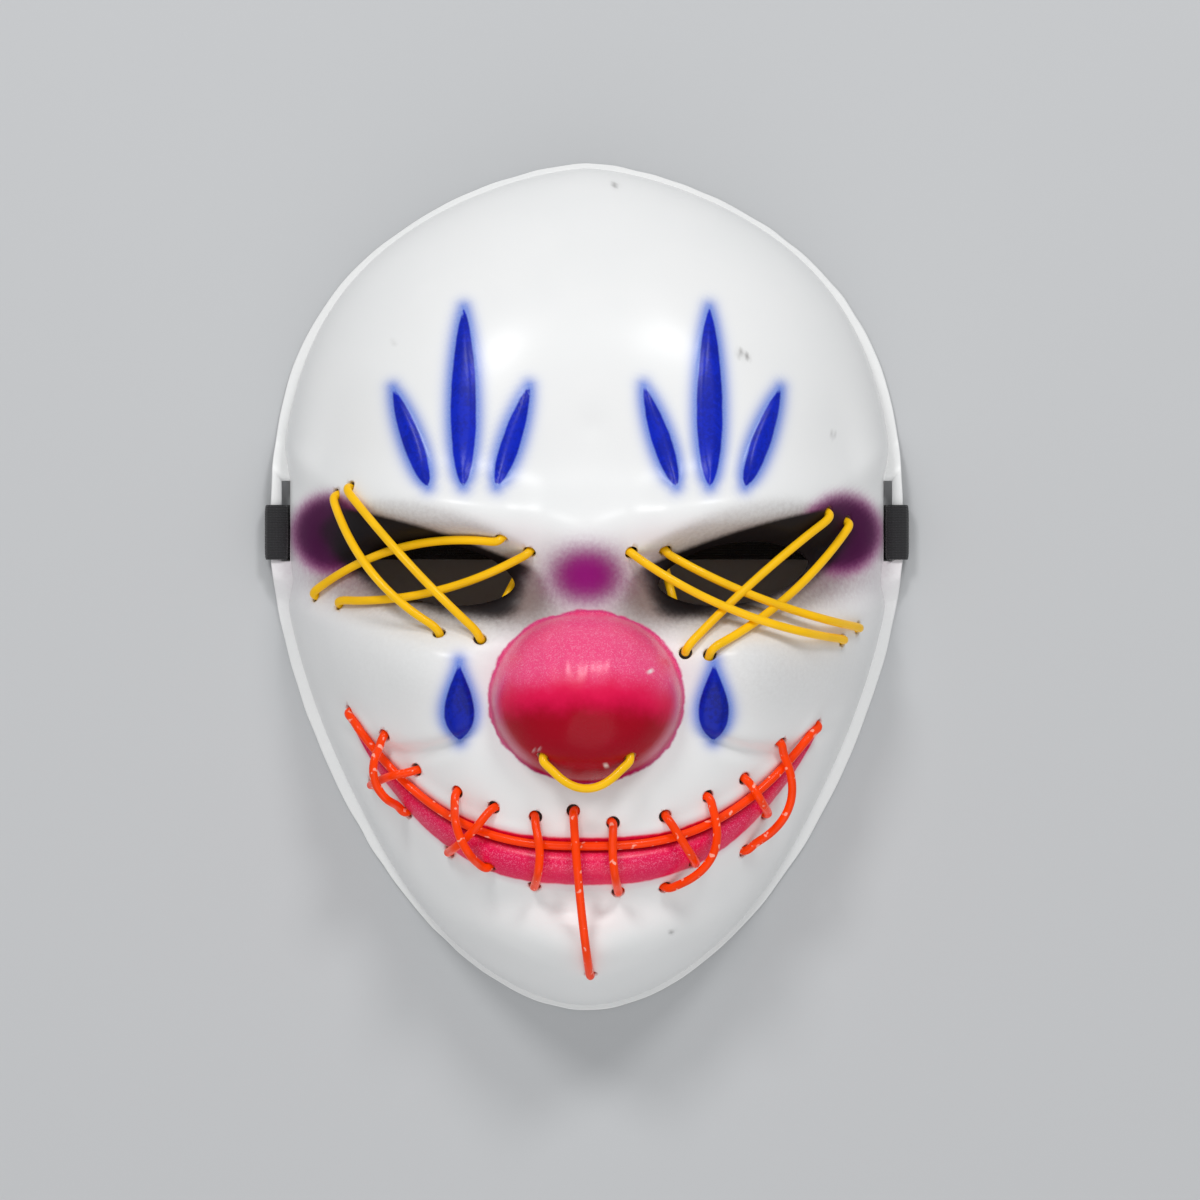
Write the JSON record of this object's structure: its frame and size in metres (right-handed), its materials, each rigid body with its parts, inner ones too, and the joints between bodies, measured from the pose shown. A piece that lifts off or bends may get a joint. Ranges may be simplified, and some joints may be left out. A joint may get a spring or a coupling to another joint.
{
  "type": "clown mask",
  "caption": "Rigid moulded clown face mask with a ball nose, eye openings, stitched light wires over eyes and mouth, and an elastic head band.",
  "frame": {"origin": "on the resting plane under the middle of the mask's outline, the mask lying face up on its rim", "axes": "+Z out of the face, +Y towards the crown, +X to the right as seen from the front"},
  "size_m": [0.1762, 0.232, 0.083],
  "materials": {
    "white_shell": "glossy moulded white with sprayed colour",
    "yellow_wire": "clear yellow sleeve, lit from inside",
    "orange_wire": "clear orange sleeve, lit from inside",
    "black_elastic": "woven flat elastic"
  },
  "bodies": {
    "root": {"face_shell": "white_shell", "eye_wire": "yellow_wire", "mouth_wire": "orange_wire", "head_band": "black_elastic"}
  },
  "joints": []
}
